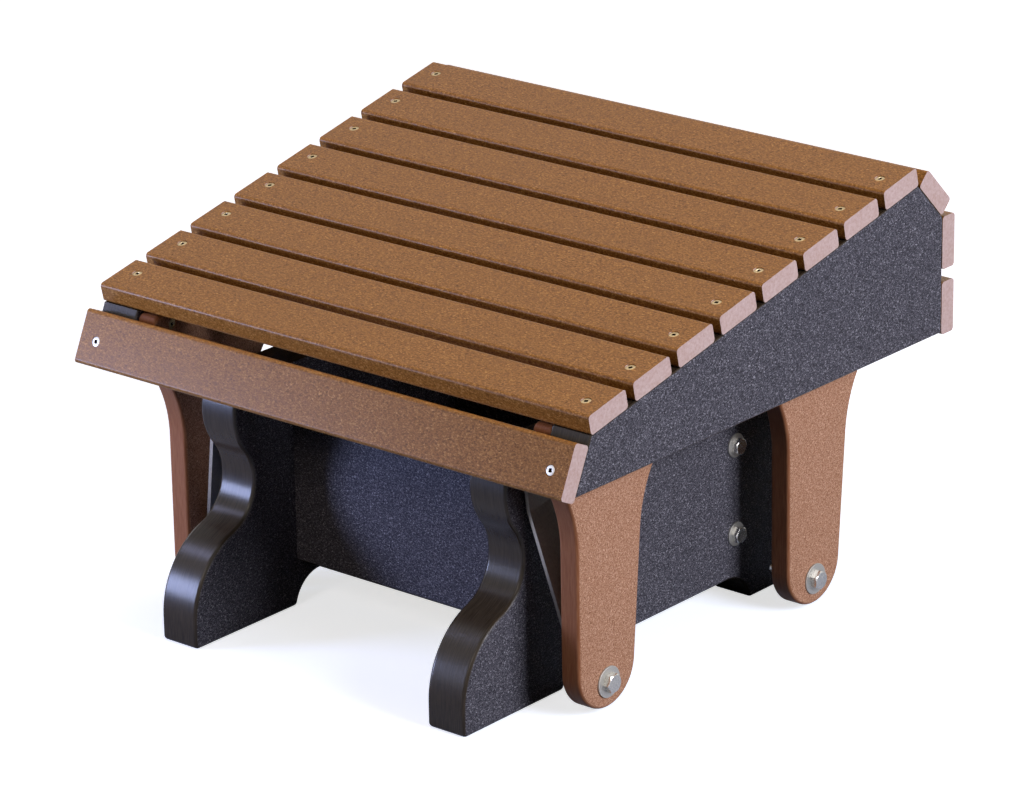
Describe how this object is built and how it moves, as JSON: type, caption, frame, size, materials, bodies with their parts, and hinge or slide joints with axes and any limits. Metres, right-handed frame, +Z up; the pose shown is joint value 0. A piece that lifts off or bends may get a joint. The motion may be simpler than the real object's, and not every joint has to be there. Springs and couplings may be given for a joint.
{
  "type": "gliding footrest",
  "caption": "Slatted footrest with a seat that rises to the rear, hung by cranked swing arms from a low ogee-ended base so that it glides back and forth.",
  "frame": {"origin": "on the floor, under the middle of the overall box", "axes": "+Z up, -Y to the low front edge of the seat, +X to the right seen from behind it looking along +Y"},
  "size_m": [0.508, 0.5104, 0.3627],
  "materials": {
    "slat_plastic": "brown plastic lumber with a fine mottle, brushed faces",
    "hanger_plastic": "light brown plastic lumber with a fine mottle",
    "frame_plastic": "charcoal plastic lumber with fine light flecks",
    "hardware_steel": "plain stainless steel",
    "coated_screw": "tan coated screw"
  },
  "bodies": {
    "base": {"base_cross_board_front": "frame_plastic", "base_cross_board_rear": "frame_plastic", "base_side_board_left": "frame_plastic", "base_side_board_right": "frame_plastic", "cross_board_bolts": "hardware_steel", "cross_board_washers": "hardware_steel", "upper_inner_races": "hardware_steel", "upper_pivot_bolts": "hardware_steel", "upper_pivot_nuts": "hardware_steel", "upper_pivot_washers": "hardware_steel", "upper_spacers": "hardware_steel"},
    "arm_front_left": {"bearing_shells_front_left": "hardware_steel", "swing_arm_front_left": "hardware_steel"},
    "arm_front_right": {"bearing_shells_front_right": "hardware_steel", "swing_arm_front_right": "hardware_steel"},
    "arm_rear_left": {"bearing_shells_rear_left": "hardware_steel", "swing_arm_rear_left": "hardware_steel"},
    "arm_rear_right": {"bearing_shells_rear_right": "hardware_steel", "swing_arm_rear_right": "hardware_steel"},
    "seat": {"apron_screws": "hardware_steel", "chamfer_slat": "slat_plastic", "front_apron": "slat_plastic", "hanger_front_left": "hanger_plastic", "hanger_front_right": "hanger_plastic", "hanger_rear_left": "hanger_plastic", "hanger_rear_right": "hanger_plastic", "hanger_screws": "coated_screw", "lower_inner_races": "hardware_steel", "lower_pivot_bolts": "hardware_steel", "lower_pivot_nuts": "hardware_steel", "lower_pivot_washers": "hardware_steel", "lower_spacers": "hardware_steel", "rear_slat_1": "slat_plastic", "rear_slat_2": "slat_plastic", "rear_slat_screws": "coated_screw", "seat_rail_left": "frame_plastic", "seat_rail_right": "frame_plastic", "top_slat_1": "slat_plastic", "top_slat_2": "slat_plastic", "top_slat_3": "slat_plastic", "top_slat_4": "slat_plastic", "top_slat_5": "slat_plastic", "top_slat_6": "slat_plastic", "top_slat_7": "slat_plastic", "top_slat_8": "slat_plastic", "top_slat_screws": "coated_screw"}
  },
  "joints": [
    {"name": "glide", "type": "hinge", "parent": "base", "child": "arm_front_left", "pos_m": [-0.16777, -0.17071, 0.19197], "axis": [1, 0, 0], "range_deg": [-14, 14]},
    {"name": "glide_front_right", "type": "hinge", "parent": "base", "child": "arm_front_right", "pos_m": [0.16777, -0.17071, 0.19197], "axis": [1, 0, 0], "range_deg": [-14.5, 14.5]},
    {"name": "glide_rear_left", "type": "hinge", "parent": "base", "child": "arm_rear_left", "pos_m": [-0.16777, 0.14129, 0.19197], "axis": [1, 0, 0], "range_deg": [-14.5, 14.5]},
    {"name": "glide_rear_right", "type": "hinge", "parent": "base", "child": "arm_rear_right", "pos_m": [0.16777, 0.14129, 0.19197], "axis": [1, 0, 0], "range_deg": [-14.5, 14.5]},
    {"name": "seat_pivot", "type": "hinge", "parent": "arm_front_left", "child": "seat", "pos_m": [-0.19183, -0.14821, 0.0265], "axis": [1, 0, 0], "range_deg": [-17, 17]}
  ],
  "couplings": [
    {"joint": "glide_front_right", "follows": "glide", "ratio": 1},
    {"joint": "glide_rear_left", "follows": "glide", "ratio": 1},
    {"joint": "glide_rear_right", "follows": "glide", "ratio": 1},
    {"joint": "seat_pivot", "follows": "glide", "ratio": -1.1731}
  ]
}
